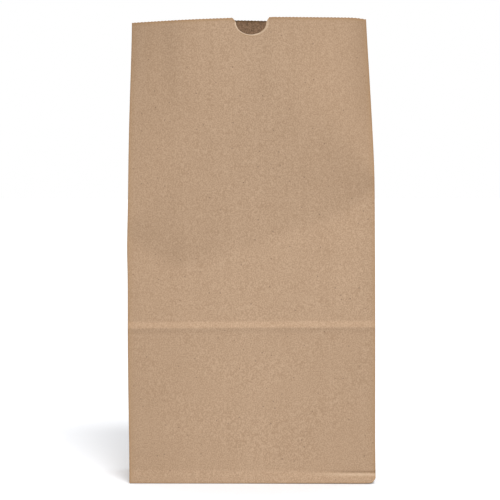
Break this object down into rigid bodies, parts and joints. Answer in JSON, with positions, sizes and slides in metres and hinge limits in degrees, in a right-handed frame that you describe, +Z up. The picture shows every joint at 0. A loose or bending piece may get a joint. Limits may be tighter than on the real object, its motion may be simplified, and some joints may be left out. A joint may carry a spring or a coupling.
{
  "type": "brown paper lunch bag",
  "caption": "Open, standing kraft paper bag with a folded flat base, tucked side gussets, a saw-cut mouth and a thumb notch; carries a packed lunch.",
  "frame": {"origin": "on the surface that the bag stands on, under the middle of its box", "axes": "+Z up through the mouth, -Y out of the front with the thumb notch, +X to the right of the front"},
  "size_m": [0.15, 0.095, 0.2834],
  "materials": {
    "kraft_paper": "matte unbleached brown kraft paper with fine fibres and faint vertical streaks"
  },
  "bodies": {
    "root": {"paper_bag": "kraft_paper"}
  },
  "joints": []
}
